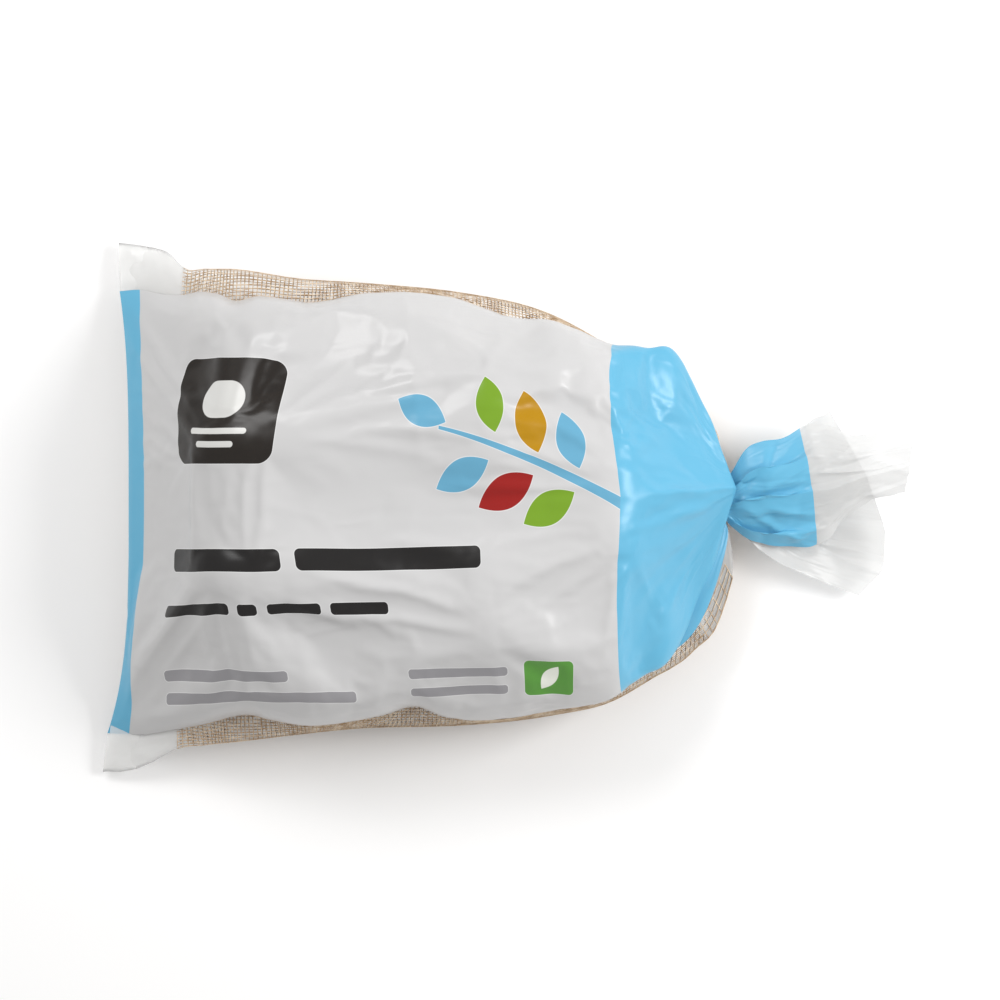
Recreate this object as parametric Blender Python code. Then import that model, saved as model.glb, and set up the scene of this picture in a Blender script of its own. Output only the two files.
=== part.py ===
"""A tied five-pound bag of russet potatoes, lying on its net back.

The front is one printed film that runs from the bottom seam through the neck to the lip. The back is an
open net with a clear film strip welded to each end. A wire tie closes the neck, and thirteen tubers lie
inside in two layers. +X points from the bottom seam to the lip, +Z out of the printed front, and the origin is
under the middle of the bag, on the surface that it lies on.
"""

import math

import bmesh
import bpy
from mathutils import Euler, Matrix, Vector

# Driving dimensions, in metres.
MM = 0.001
FILM_THICK = 0.7 * MM
NET_THICK = 0.8 * MM
GAP = 0.6 * MM
SEAM_X = -198 * MM
FRONT_HALF_SEAM = 114 * MM
FLAT_HALF_WIDTH = 139 * MM
SEAM_MIDDLE_Z = 24 * MM
SEAM_CORNER_Z = 6 * MM
SEAM_REACH = 34 * MM
FAR_CORNER_FLARE = 7 * MM
NEAR_CORNER_FLARE = 14.5 * MM
NET_END_X = 103 * MM
NECK_FROM_X = 111 * MM
NECK_TO_X = 115 * MM
NECK_Y = 4 * MM
NECK_Z = 27 * MM
NECK_HALF_WIDTH = 9.5 * MM
NECK_HALF_HEIGHT = 7.5 * MM
NECK_REACH = 13 * MM
TIE_WIRE = 0.9 * MM
TIE_CLEARANCE = 0.6 * MM

# The bag's plan and height along X, in mm: the front film's two edges, the net's two folds, the height of
# the fold and of the film's edge, and the height of the film's crown.
BODY = (
    #  x    far  near  far_fold near_fold fold_z edge_z crown_z
    (-198, 113, -115, 137, -138, 8, 12, 34),
    (-184, 112, -114, 136, -134, 16, 24, 62),
    (-165, 110, -113, 124, -125, 24, 35, 84),
    (-130, 108, -111, 121, -121, 30, 43, 98),
    (-70, 107, -109, 117, -115, 32, 46, 100),
    (0, 102, -108, 110, -112, 32, 46, 100),
    (45, 90, -101, 97, -104, 31, 45, 97),
    (75, 82, -84, 85, -87, 29, 42, 82),
    (95, 64, -58, 67, -63, 27, 38, 68),
    (108, 40, -31, 43, -36, 25, 33, 54),
    (111, 30, -21, 33, -26, 24, 31, 48),
    (115, 24, -15, 27, -20, 23, 29, 44),
)
FAR, NEAR, FAR_FOLD, NEAR_FOLD, FOLD_Z, EDGE_Z, CROWN_Z = range(1, 8)
FLAT_SHARE = 0.6
FLAT_FROM_X = -160 * MM
FLAT_TO_X = 84 * MM
NECK_RISE = 17 * MM
SEAM_RISE = 3 * MM

# The two ends beyond the neck, in mm: x, middle y, half width, edge height, crown height, and how much
# farther out the far edge is than the middle.
FRONT_LIP = (
    (119, 4, 14, 29, 36, 0),
    (126, 6, 21, 30, 39, 0),
    (136, 9, 26, 31, 40, 0),
    (148, 11, 31, 31, 39, 0),
    (160, 14, 33, 30, 37, 0),
    (172, 15, 23, 28, 34, 0),
    (184, 20, 17, 26, 31, 0),
    (198, 22, 18, 24, 28, 1),
    (210, 25, 16, 22, 26, 2),
)
BACK_LIP = (
    (119, 2, 12, 25, 19, 0),
    (126, -1, 17, 24, 17, 0),
    (136, -6, 20, 23, 15, 0),
    (148, -9, 23, 22, 13, 0),
    (162, -13, 25, 19, 11, 0),
    (176, -19, 23, 15, 8, 4),
    (191, -29, 17, 12, 6, 8),
)

# Each tuber: x, y, z of its middle, heading and tilt in degrees, then length, width and height, in mm.
TUBERS = (
    (-130, 67, 28.8, 3, 0, 105, 61, 53),
    (-133, 1, 28.8, -4, 0, 107, 62, 53),
    (-129, -66, 28.8, 4, 0, 105, 61, 53),
    (-43, 52, 28.6, 93, 0, 99, 58, 53),
    (-42, -53, 28.6, 87, 0, 102, 59, 53),
    (19, 48, 28.2, 87, 0, 96, 57, 52),
    (20, -53, 28.2, 94, 0, 98, 58, 52),
    (77, -4, 27.9, 90, 0, 101, 50, 48),
    (-117, 34, 71.3, 4, -3, 95, 53, 46),
    (-117, -33, 71.0, -4, -3, 96, 54, 46),
    (-13, 43, 70.8, 86, 0, 82, 54, 44),
    (-12, -45, 70.6, 95, 0, 84, 54, 44),
    (49, 1, 68.6, 92, 0, 94, 52, 43),
)
TUBER_SEGMENTS, TUBER_RINGS = 18, 12

ACROSS = 20
# Where each sheet's rows of points lie along X, in mm.
BODY_ROWS = (
    *(-198, -194, -188, -180, -170, -156, -136, -108, -76, -44),
    *(-12, 20, 46, 66, 82, 94, 103, 108, 111, 115),
)
BACK_ROWS = (-198, -191, -184, -176, -168)
NET_ROWS = (-168, -160, -140, -108, -70, -30, 10, 44, 70, 86, 96, 103)
SIDE_STEPS = 6
FLAT_STEPS = 5
# How much of the front's spacing is closer near the edges, where the film turns down.
EDGE_SPREAD = 0.45

# The welded bottom seam: where the second point of the ear lies, and how far the layers step down.
EAR_POINT = 0.65
WELD_STEP = 0.8 * MM
UNDER_STEP = 2.2 * MM
UNDER_SEAM = 3 * MM
# The net leaves the film's edge nearly level: how far out, and how far down, its second point is.
LEDGE_OUT, LEDGE_DOWN = 0.7, 0.3

# The shape of a tuber, as shares of its half width: bluntness, taper, bend and ripple.
BLUNT, TAPER, BEND, RIPPLE = 0.28, 0.05, 0.05, 0.015


def clear_scene():
    for obj in list(bpy.data.objects):
        bpy.data.objects.remove(obj)


def along(table, column, x):
    """The smooth curve through one column of a table of stations, read at x, in metres."""
    x_mm = min(max(x / MM, table[0][0]), table[-1][0])
    i = max(k for k in range(len(table) - 1) if table[k][0] <= x_mm)
    x0, x1 = table[i][0], table[i + 1][0]

    def slope(k):
        before, after = table[max(k - 1, 0)], table[min(k + 1, len(table) - 1)]
        return (after[column] - before[column]) / (after[0] - before[0])

    span = x1 - x0
    t = (x_mm - x0) / span
    value = (
        (2 * t**3 - 3 * t**2 + 1) * table[i][column]
        + (t**3 - 2 * t**2 + t) * span * slope(i)
        + (3 * t**2 - 2 * t**3) * table[i + 1][column]
        + (t**3 - t**2) * span * slope(i + 1)
    )
    return value * MM


def eased(t):
    t = min(max(t, 0.0), 1.0)
    return t * t * (3 - 2 * t)


def arch(t):
    """The bag's cross-section: 1 in the middle and 0 at t = -1 and 1, broad and full."""
    return max(0.0, 1 - abs(t) ** 3) ** 0.5


def seam_height(y):
    share = min(abs(y) / FRONT_HALF_SEAM, 1.0)
    return SEAM_CORNER_Z + (SEAM_MIDDLE_Z - SEAM_CORNER_Z) * (1 - share * share)


def seam_flare(y):
    """How far the two bottom corners stand out past the middle of the seam, which the filling draws in."""
    flare = FAR_CORNER_FLARE if y > 0 else NEAR_CORNER_FLARE
    return flare * eased((abs(y) - 0.6 * FRONT_HALF_SEAM) / (0.6 * FRONT_HALF_SEAM))


def at_neck(x):
    return eased((x - (NECK_FROM_X - NECK_REACH)) / NECK_REACH)


def front_point(x, t):
    """A point on the front film's outside, at x along the bag and t from -1 to 1 across it."""
    far, near = along(BODY, FAR, x), along(BODY, NEAR, x)
    y = (far + near) / 2 + t * (far - near) / 2
    z = along(BODY, EDGE_Z, x) + (along(BODY, CROWN_Z, x) - along(BODY, EDGE_Z, x)) * arch(t)
    point = Vector((x, y, z))
    at_seam = 1 - eased((x - SEAM_X) / SEAM_REACH)
    seam = Vector((x - seam_flare(y) * at_seam, y, seam_height(y) + FILM_THICK + GAP))
    point = point.lerp(seam, at_seam**3)
    point.x = seam.x
    angle = math.pi / 2 * (1 - t)
    y = NECK_Y + NECK_HALF_WIDTH * math.cos(angle)
    neck = Vector((x, y, NECK_Z + GAP + NECK_HALF_HEIGHT * math.sin(angle)))
    return point.lerp(neck, at_neck(x))


def lip_point(row, t):
    x, middle, half, edge_z, crown_z, slant = row
    lift = (crown_z - edge_z) * (1 - t * t)
    return Vector((x + t * slant, middle + t * half, edge_z + lift)) * MM


def sheet(name, rows, thickness, colour, roughness):
    """A closed thin solid, from rows of points on its outer side; a row runs across the bag."""
    mesh = bpy.data.meshes.new(name)
    across = len(rows[0])
    points = [p for row in rows for p in row]
    faces = []
    for i in range(len(rows) - 1):
        for j in range(across - 1):
            a = i * across + j
            faces.append((a, a + across, a + across + 1, a + 1))
    mesh.from_pydata(points, [], faces)
    obj = bpy.data.objects.new(name, mesh)
    bpy.context.scene.collection.objects.link(obj)
    solid = obj.modifiers.new("thickness", "SOLIDIFY")
    solid.thickness = thickness
    solid.offset = -1
    solid.use_even_offset = False
    mesh.shade_smooth()
    paint(obj, colour, roughness)


def paint(obj, colour, roughness):
    material = bpy.data.materials.new(obj.name)
    material.use_nodes = True
    shader = material.node_tree.nodes["Principled BSDF"]
    shader.inputs["Base Color"].default_value = (*colour, 1)
    shader.inputs["Roughness"].default_value = roughness
    obj.data.materials.append(material)


def front_film():
    """The printed film: from the bottom seam over the crown, through the neck and out to the lip."""
    steps = [2 * k / ACROSS - 1 for k in range(ACROSS + 1)]
    spread = [math.sin(math.pi / 2 * t) * EDGE_SPREAD + t * (1 - EDGE_SPREAD) for t in steps]
    rows = [[front_point(x * MM, t) for t in spread] for x in BODY_ROWS]
    rows += [[lip_point(row, t) for t in spread] for row in FRONT_LIP]
    sheet("front_film", rows, FILM_THICK, (0.80, 0.80, 0.81), 0.3)


def back_half(x, side):
    """One side of the back's cross-section: from the film's edge out to the fold, then down and under."""
    edge = along(BODY, FAR if side > 0 else NEAR, x)
    fold = along(BODY, FAR_FOLD if side > 0 else NEAR_FOLD, x)
    fold_z, edge_z = along(BODY, FOLD_Z, x), along(BODY, EDGE_Z, x)
    flat = fold * FLAT_SHARE
    bottom = 0.0 if FLAT_FROM_X <= x <= FLAT_TO_X else under_height(x)
    points = [Vector((x, edge, edge_z - FILM_THICK - GAP))]
    ledge = edge_z - FILM_THICK - GAP - LEDGE_DOWN * (edge_z - fold_z)
    points.append(Vector((x, edge + LEDGE_OUT * (fold - edge), ledge)))
    for k in range(SIDE_STEPS + 1):
        angle = math.pi / 2 * k / SIDE_STEPS
        y = flat + (fold - flat) * math.cos(angle)
        points.append(Vector((x, y, bottom + (fold_z - bottom) * (1 - math.sin(angle)))))
    return points


def under_height(x):
    """How far the underside stands off the surface, where it rises to the seam and to the neck."""
    to_neck = eased((x - FLAT_TO_X) / (NECK_FROM_X - FLAT_TO_X))
    to_seam = eased((FLAT_FROM_X - x) / (FLAT_FROM_X - SEAM_X))
    return NECK_RISE * to_neck + SEAM_RISE * to_seam


def seam_half(side):
    """The same points where the two films are welded flat: the corner is a folded ear."""
    ear = FLAT_HALF_WIDTH - FRONT_HALF_SEAM
    points = []
    for share in (0, EAR_POINT):
        y = FRONT_HALF_SEAM + ear * share
        points.append(Vector((0, side * y, seam_height(y) - GAP)))
    for k in range(SIDE_STEPS + 1):
        y = FLAT_HALF_WIDTH - (FLAT_HALF_WIDTH * (1 - FLAT_SHARE)) * (k / SIDE_STEPS) ** 1.5
        drop = WELD_STEP + UNDER_STEP * min(1.0, 2.0 * k / SIDE_STEPS)
        points.append(Vector((0, side * y, seam_height(y) - GAP - drop)))
    return points


def back_row(x):
    """The back's whole cross-section, from the far film edge under the bag to the near one."""
    halves = []
    at_seam = (1 - eased((x - SEAM_X) / SEAM_REACH)) ** 2
    for side in (1, -1):
        points = []
        for body, seam in zip(back_half(x, side), seam_half(side)):
            seam.x = x
            point = body.lerp(seam, at_seam)
            point.x = x - seam_flare(point.y) * (1 - eased((x - SEAM_X) / SEAM_REACH))
            points.append(point)
        halves.append(points)
    far, near = halves
    low_far, low_near = far[-1], near[-1]
    middle = []
    for k in range(1, FLAT_STEPS):
        point = low_far.lerp(low_near, k / FLAT_STEPS)
        level = seam_height(point.y) - GAP - UNDER_SEAM
        point.z += (level - point.z) * at_seam
        middle.append(point)
    row = far + middle + near[::-1]
    return [p.lerp(neck_under(x, k / (len(row) - 1)), at_neck(x)) for k, p in enumerate(row)]


def neck_under(x, share):
    angle = math.pi * share
    y = NECK_Y + NECK_HALF_WIDTH * math.cos(angle)
    return Vector((x, y, NECK_Z - GAP - NECK_HALF_HEIGHT * math.sin(angle)))


def bottom_strip():
    """The clear film strip welded across the bottom end of the net, with the two folded corner ears."""
    rows = [back_row(x * MM) for x in BACK_ROWS]
    sheet("bottom_strip", rows, FILM_THICK, (0.85, 0.85, 0.84), 0.25)


def back_net():
    """The net back, as the plain sheet that its yarns span."""
    rows = [back_row(x * MM + (GAP if x == NET_ROWS[0] else 0)) for x in NET_ROWS]
    sheet("back_net", rows, NET_THICK, (0.62, 0.45, 0.27), 0.6)


def top_strip():
    """The clear film strip that carries on from the net, under the neck and out to the back lip."""
    rows = [back_row(x) for x in (NET_END_X + GAP, 107 * MM, NECK_FROM_X, NECK_TO_X)]
    last = len(rows[0]) - 1
    steps = [1 - 2 * k / last for k in range(last + 1)]
    rows += [[lip_point(row, t) for t in steps] for row in BACK_LIP]
    sheet("top_strip", rows, FILM_THICK, (0.85, 0.85, 0.84), 0.25)


def neck_tie():
    """A thin coated wire wound once round the neck."""
    curve = bpy.data.curves.new("neck_tie", "CURVE")
    curve.dimensions = "3D"
    curve.bevel_depth = TIE_WIRE
    curve.bevel_resolution = 1
    ring = curve.splines.new("POLY")
    count = 20
    reach = TIE_WIRE + TIE_CLEARANCE
    ring.points.add(count - 1)
    ring.use_cyclic_u = True
    for k in range(count):
        angle = 2 * math.pi * k / count
        y = NECK_Y + (NECK_HALF_WIDTH + reach) * math.cos(angle)
        z = NECK_Z + (NECK_HALF_HEIGHT + GAP + reach) * math.sin(angle)
        ring.points[k].co = ((NECK_FROM_X + NECK_TO_X) / 2, y, z, 1)
    obj = bpy.data.objects.new("neck_tie", curve)
    bpy.context.scene.collection.objects.link(obj)
    paint(obj, (0.85, 0.87, 0.88), 0.4)


def tuber(index, x, y, z, heading, tilt, length, width, height):
    """One russet: a long blunt oval, a little bent and thicker at one end."""
    mesh = bmesh.new()
    bmesh.ops.create_uvsphere(mesh, u_segments=TUBER_SEGMENTS, v_segments=TUBER_RINGS, radius=1)
    turn = Matrix.Rotation(math.pi / 2, 3, "Y")
    taper = TAPER * math.sin(2.3 * index)
    bend = BEND * math.cos(1.7 * index)
    for vertex in mesh.verts:
        p = turn @ vertex.co
        blunt = 1 + BLUNT * (1 - p.x**2) * p.x**2
        swell = blunt * (1 + taper * p.x)
        ripple = 1 + RIPPLE * math.sin(3 * p.x + index) * math.cos(2 * math.atan2(p.z, p.y) + index)
        vertex.co = Vector((
            p.x * length / 2,
            (p.y * swell * ripple + bend * (p.x**2 - 0.5)) * width / 2,
            p.z * swell * ripple * height / 2,
        )) * MM
    data = bpy.data.meshes.new(f"potato_{index}")
    mesh.to_mesh(data)
    mesh.free()
    obj = bpy.data.objects.new(f"potato_{index}", data)
    obj.location = Vector((x, y, z)) * MM
    obj.rotation_euler = Euler((0, math.radians(tilt), math.radians(heading)))
    bpy.context.scene.collection.objects.link(obj)
    data.shade_smooth()
    paint(obj, (0.33, 0.20, 0.11), 0.8)


clear_scene()
front_film()
bottom_strip()
back_net()
top_strip()
neck_tie()
for number, place in enumerate(TUBERS, start=1):
    tuber(number, *place)
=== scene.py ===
"""The looks of a tied five-pound bag of russets: printed film, clear strips, net back, tie and tubers."""

import math

import bmesh
import bpy
import numpy as np
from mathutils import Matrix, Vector, noise
from mathutils.bvhtree import BVHTree


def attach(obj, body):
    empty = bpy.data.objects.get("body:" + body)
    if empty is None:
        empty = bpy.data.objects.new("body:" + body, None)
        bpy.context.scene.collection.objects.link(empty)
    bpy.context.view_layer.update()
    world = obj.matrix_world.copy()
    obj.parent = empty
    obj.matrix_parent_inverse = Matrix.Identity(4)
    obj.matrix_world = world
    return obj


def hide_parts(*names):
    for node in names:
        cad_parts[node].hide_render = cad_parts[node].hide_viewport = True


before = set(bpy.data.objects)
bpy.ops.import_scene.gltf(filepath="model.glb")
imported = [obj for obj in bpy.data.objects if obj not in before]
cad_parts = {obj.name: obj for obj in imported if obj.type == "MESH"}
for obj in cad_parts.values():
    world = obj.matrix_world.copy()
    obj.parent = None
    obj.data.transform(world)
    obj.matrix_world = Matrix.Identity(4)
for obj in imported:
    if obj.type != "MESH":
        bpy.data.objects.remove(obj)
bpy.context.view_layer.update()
scene = bpy.context.scene
MM = 0.001

# ---------------------------------------------------------------------------------------------------------
# The table top, the camera and the light. A white sweep, a soft box high on the right, a weaker one at the
# far left, and a pale room. The camera looks straight down on the bag.
# ---------------------------------------------------------------------------------------------------------

CAMERA_REACH = 4.0
VIEW_WIDTH = 0.520
VIEW_CENTRE = (-0.0039, 0.0039)
SENSOR = 36.0
MIDDLE_HEIGHT = 0.045
FLOOR_HALF = 3.0

camera_data = bpy.data.cameras.new("camera")
camera_data.sensor_width = SENSOR
camera_data.lens = SENSOR * (CAMERA_REACH - MIDDLE_HEIGHT) / VIEW_WIDTH
camera = bpy.data.objects.new("camera", camera_data)
camera.location = (*VIEW_CENTRE, CAMERA_REACH)
scene.collection.objects.link(camera)
scene.camera = camera


def soft_box(name, place, aim, size, power):
    light = bpy.data.lights.new(name, "AREA")
    light.shape = "RECTANGLE"
    light.size, light.size_y = size
    light.energy = power
    obj = bpy.data.objects.new(name, light)
    obj.location = place
    obj.rotation_euler = (Vector(aim) - Vector(place)).to_track_quat("-Z", "Y").to_euler()
    scene.collection.objects.link(obj)


soft_box("key_light", (1.0, 0.18, 0.86), (0, 0, 0.03), (0.5, 0.5), 10.8)
soft_box("top_light", (-0.55, 0.78, 1.0), (0, 0, 0), (0.6, 0.45), 7.2)

world = bpy.data.worlds.new("studio")
world.use_nodes = True
world.node_tree.nodes["Background"].inputs["Color"].default_value = (1.0, 0.99, 0.98, 1)
world.node_tree.nodes["Background"].inputs["Strength"].default_value = 0.58
scene.world = world
scene.view_settings.view_transform = "Standard"


def new_material(name):
    material = bpy.data.materials.new(name)
    material.use_nodes = True
    return material, material.node_tree.nodes["Principled BSDF"]


def flat_floor(half):
    mesh = bpy.data.meshes.new("table_top")
    corners = [(-half, -half, 0), (half, -half, 0), (half, half, 0), (-half, half, 0)]
    mesh.from_pydata(corners, [], [(0, 1, 2, 3)])
    obj = bpy.data.objects.new("table_top", mesh)
    material, shader = new_material("white_sweep")
    shader.inputs["Base Color"].default_value = (0.96, 0.96, 0.96, 1)
    shader.inputs["Roughness"].default_value = 0.9
    mesh.materials.append(material)
    scene.collection.objects.link(obj)


flat_floor(FLOOR_HALF)

# ---------------------------------------------------------------------------------------------------------
# The tubers. Thirteen russets in two layers: long blunt ovals with shallow eyes under a low brow, and a
# dry brown corky skin with a fine net of cracks. Each follows its own solid in the frame.
# ---------------------------------------------------------------------------------------------------------

TUBERS = sorted(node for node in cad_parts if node.startswith("potato_"))
RUSSETS = [node.replace("potato", "russet") for node in TUBERS]
LUMP_SIZE, LUMP_HEIGHT = 22 * MM, 0.7 * MM
DENT_SIZE, DENT_HEIGHT = 7 * MM, 0.25 * MM
EYES = 11
EYE_RADIUS, EYE_DEPTH = 3.6 * MM, 1.1 * MM
BROW_HEIGHT = 0.6 * MM


def finished(obj):
    """The object as its modifiers leave it, as a plain mesh, with the modifiers gone."""
    graph = bpy.context.evaluated_depsgraph_get()
    mesh = bpy.data.meshes.new_from_object(obj.evaluated_get(graph))
    obj.modifiers.clear()
    old = obj.data
    obj.data = mesh
    bpy.data.meshes.remove(old)
    mesh.name = obj.name
    return obj


def coordinates(mesh):
    co = np.empty(len(mesh.vertices) * 3)
    mesh.vertices.foreach_get("co", co)
    return co.reshape(-1, 3)


def normals(mesh):
    no = np.empty(len(mesh.vertices) * 3)
    mesh.vertices.foreach_get("normal", no)
    return no.reshape(-1, 3)


def put_back(mesh, co):
    mesh.vertices.foreach_set("co", np.ascontiguousarray(co, float).reshape(-1))
    mesh.update()


def merged_copy(node, name):
    """A copy of a solid in the frame, with its loose triangles joined up."""
    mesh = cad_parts[node].data.copy()
    mesh.name = name
    mesh.materials.clear()
    work = bmesh.new()
    work.from_mesh(mesh)
    bmesh.ops.remove_doubles(work, verts=work.verts, dist=0.00002)
    bmesh.ops.join_triangles(work, faces=work.faces, angle_face_threshold=0.6, angle_shape_threshold=0.9)
    work.to_mesh(mesh)
    work.free()
    obj = bpy.data.objects.new(name, mesh)
    scene.collection.objects.link(obj)
    return obj


def waves(points, scale, seed):
    """A smooth field with values near -1 to 1, at each point, with the given size of its features."""
    shift = Vector((seed * 7.31, seed * 3.17, seed * 5.73))
    return np.array([noise.noise(Vector(p) / scale + shift) for p in points])


def russet(node, name, seed):
    """One tuber: its solid rounded off, with soft lumps, and eyes that each lie under a brow."""
    obj = merged_copy(node, name)
    smooth = obj.modifiers.new("smooth", "SUBSURF")
    smooth.levels = smooth.render_levels = 2
    finished(obj)
    mesh = obj.data
    co, no = coordinates(mesh), normals(mesh)
    rng = np.random.default_rng(seed)
    lumps, dents = waves(co, LUMP_SIZE, seed), waves(co, DENT_SIZE, seed + 50)
    lift = LUMP_HEIGHT * lumps + DENT_HEIGHT * dents - LUMP_HEIGHT
    for at in rng.choice(len(co), EYES, replace=False):
        away = co - co[at]
        reach = np.linalg.norm(away, axis=1)
        brow_side = away @ rng.normal(0, 1, 3) / EYE_RADIUS
        brow = np.exp(-(((reach - 1.3 * EYE_RADIUS) / (0.5 * EYE_RADIUS)) ** 2))
        lift -= EYE_DEPTH * np.exp(-((reach / EYE_RADIUS) ** 2))
        lift += BROW_HEIGHT * brow * (brow_side > 0.4)
    put_back(mesh, co + no * lift[:, None])
    mesh.shade_smooth()
    return obj


def nodes_and_links(material):
    return material.node_tree.nodes, material.node_tree.links


def skin_material():
    """Dry brown cork: light and dark patches, with a fine net of darker cracks that also stand in relief."""
    material, shader = new_material("russet_skin")
    nodes, links = nodes_and_links(material)
    place = nodes.new("ShaderNodeTexCoord")

    def texture(kind, scale, **values):
        node = nodes.new(kind)
        node.inputs["Scale"].default_value = scale
        for name, value in values.items():
            node.inputs[name].default_value = value
        links.new(place.outputs["Object"], node.inputs["Vector"])
        return node

    blotch = texture("ShaderNodeTexNoise", 45.0, Detail=5.0)
    fine = texture("ShaderNodeTexNoise", 420.0, Detail=6.0)
    cracks = texture("ShaderNodeTexVoronoi", 330.0)
    cracks.feature = "DISTANCE_TO_EDGE"
    ramp = nodes.new("ShaderNodeValToRGB")
    ramp.color_ramp.elements[0].position = 0.30
    ramp.color_ramp.elements[0].color = (0.19, 0.105, 0.048, 1)
    ramp.color_ramp.elements[1].position = 0.72
    ramp.color_ramp.elements[1].color = (0.44, 0.29, 0.155, 1)
    links.new(blotch.outputs["Fac"], ramp.inputs["Fac"])
    edge = nodes.new("ShaderNodeMapRange")
    edge.inputs["From Max"].default_value = 0.12
    links.new(cracks.outputs["Distance"], edge.inputs["Value"])
    darker = nodes.new("ShaderNodeMix")
    darker.data_type = "RGBA"
    darker.blend_type = "MULTIPLY"
    darker.inputs["Factor"].default_value = 0.55
    links.new(ramp.outputs["Color"], darker.inputs["A"])
    links.new(edge.outputs["Result"], darker.inputs["B"])
    links.new(darker.outputs["Result"], shader.inputs["Base Color"])
    shader.inputs["Roughness"].default_value = 0.78
    shader.inputs["Specular IOR Level"].default_value = 0.3
    bump = nodes.new("ShaderNodeBump")
    bump.inputs["Distance"].default_value = 0.0004
    bump.inputs["Strength"].default_value = 0.7
    height = nodes.new("ShaderNodeMath")
    height.operation = "ADD"
    links.new(edge.outputs["Result"], height.inputs[0])
    links.new(fine.outputs["Fac"], height.inputs[1])
    links.new(height.outputs["Value"], bump.inputs["Height"])
    links.new(bump.outputs["Normal"], shader.inputs["Normal"])
    return material


russet_skin = skin_material()
for number, node in enumerate(TUBERS):
    tuber = russet(node, RUSSETS[number], number + 1)
    tuber.data.materials.append(russet_skin)
    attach(tuber, "root")
    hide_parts(node)

# ---------------------------------------------------------------------------------------------------------
# The printed film. One sheet of 0.05 mm polyethylene, cut 250 mm wide and 486 mm long. It is welded to
# the clear strip at the bottom seam and to the net along both sides, gathered by the tie, and cut off at
# the lip.
# ---------------------------------------------------------------------------------------------------------

FILM_WIDTH = 250 * MM
NECK_AT = 378.0
LIP_AT = 486.0

# Stations along the sheet, in mm: distance from the bottom seam, then x, y and z of the line named.
CROWN_LINE = (
    (0, -198, 0, 25),
    (15, -191, 0, 38),
    (30, -184, 0, 52),
    (50, -172, 0, 68),
    (74, -154, 0, 83),
    (104, -127, 0, 94.5),
    (147, -84, 0, 98),
    (201, -30, 1, 98),
    (263, 32, 3, 93.5),
    (296, 64, 5, 84),
    (325, 89, 8, 69.5),
    (347, 106, 9, 56),
    (362, 117, 10, 45),
    (368, 120, 10, 39.5),
    (372, 118, 8, 36.5),
    (378, 113.2, 4, 34.5),
)
FAR_EDGE = (
    (0, -203.5, 113.5, 9),
    (15, -191, 114, 15),
    (25, -182, 112, 21),
    (38, -170, 111, 27),
    (50, -160, 112.5, 31),
    (62, -150, 111, 35),
    (72, -142, 107.5, 39),
    (84, -131, 110, 41),
    (112, -104, 106.5, 46),
    (140, -78, 111, 45),
    (160, -60, 112, 45),
    (200, -26, 108.5, 46),
    (222, -6, 101.5, 47),
    (240, 9, 97.5, 47),
    (254, 22, 97.5, 46),
    (272, 36, 92, 45),
    (296, 52, 84, 42),
    (325, 73, 75, 38),
    (347, 92, 65, 34),
    (362, 105, 46, 31),
    (368, 111, 33, 29),
    (372, 113, 20, 28),
    (378, 113, 13.2, 27),
)
NEAR_EDGE = (
    (0, -210, -118.5, 7),
    (15, -196, -119, 12),
    (23, -187, -118.5, 17),
    (38, -172, -115.5, 25),
    (52, -159, -113.5, 31),
    (78, -136, -108, 39),
    (92, -124, -110.5, 41),
    (112, -104, -113.5, 43),
    (132, -84, -112, 44),
    (152, -66, -108, 46),
    (174, -46, -103.5, 47),
    (186, -36, -107.5, 46),
    (206, -20, -110.5, 45),
    (228, 0, -110, 45),
    (248, 19, -106.5, 45),
    (272, 39, -103, 44),
    (296, 54, -96, 42),
    (325, 71, -77.5, 38),
    (347, 90, -59, 34),
    (362, 103, -38.5, 31),
    (368, 112, -18, 29),
    (372, 113.5, -9, 28),
    (378, 113, -5.2, 27),
)
# Close to the neck the near side is folded out again under the bulge.
NEAR_FLANGE = (
    (318, 66, -82, 39),
    (332, 84, -76, 34.5),
    (347, 98, -64, 32),
    (358, 106.5, -47, 30),
    (365, 112, -30, 29),
    (371, 115.5, -14, 28),
    (378, 113, -5.2, 27),
)
# How far round from the crown the section turns, in degrees: over 90 it tucks under before its edge.
TURN = (
    (0, 40),
    (15, 52),
    (40, 76),
    (75, 88),
    (150, 90),
    (250, 92),
    (296, 108),
    (325, 124),
    (362, 130),
    (378, 92),
)
# Past the neck the sheet fans out in leaning pleats. Each station: distance from the seam, then the near
# side, the middle and the far side of the fan.
FRONT_FAN = (
    (386, (117, -9.5, 27), (118, 3, 35), (117, 18.5, 29)),
    (396, (124, -15.5, 26), (125, 4, 37.5), (123.5, 29.5, 31)),
    (410, (135, -19.5, 24), (136, 6, 38), (132.5, 34.5, 32)),
    (424, (148, -21, 23), (148, 8, 37), (144.5, 36.5, 32)),
    (437, (160, -20.5, 22), (159.5, 11, 36), (157, 43.5, 31)),
    (448, (168, -17, 21), (169, 12, 34.5), (167, 43, 30)),
    (460, (179, -4, 20), (181, 16, 32), (180, 38, 28)),
    (475, (196, 5, 20), (198, 20, 29.5), (199, 40, 26)),
    (486, (208, 8, 20), (210.5, 24, 28), (212, 41, 25)),
)
# Where each pleat's edge lies across the fan, as a share of its width. A step back is the under fold.
FRONT_PLEATS = (0, 0.13, 0.08, 0.52, 0.43, 0.79, 0.70, 1.0)
FRONT_LIFTS = (0, 0.6, -0.7, 0.8, -0.8, 0.7, -0.6, 0)
FRONT_PLEAT_HEIGHT = 4.0
# Where the pleats start to be pressed flat, over what run along the sheet, and the share that goes.
FRONT_PRESSED_FROM = 404.0
PRESS_REACH = 34.0
PRESSED_FLAT = 0.62
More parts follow.
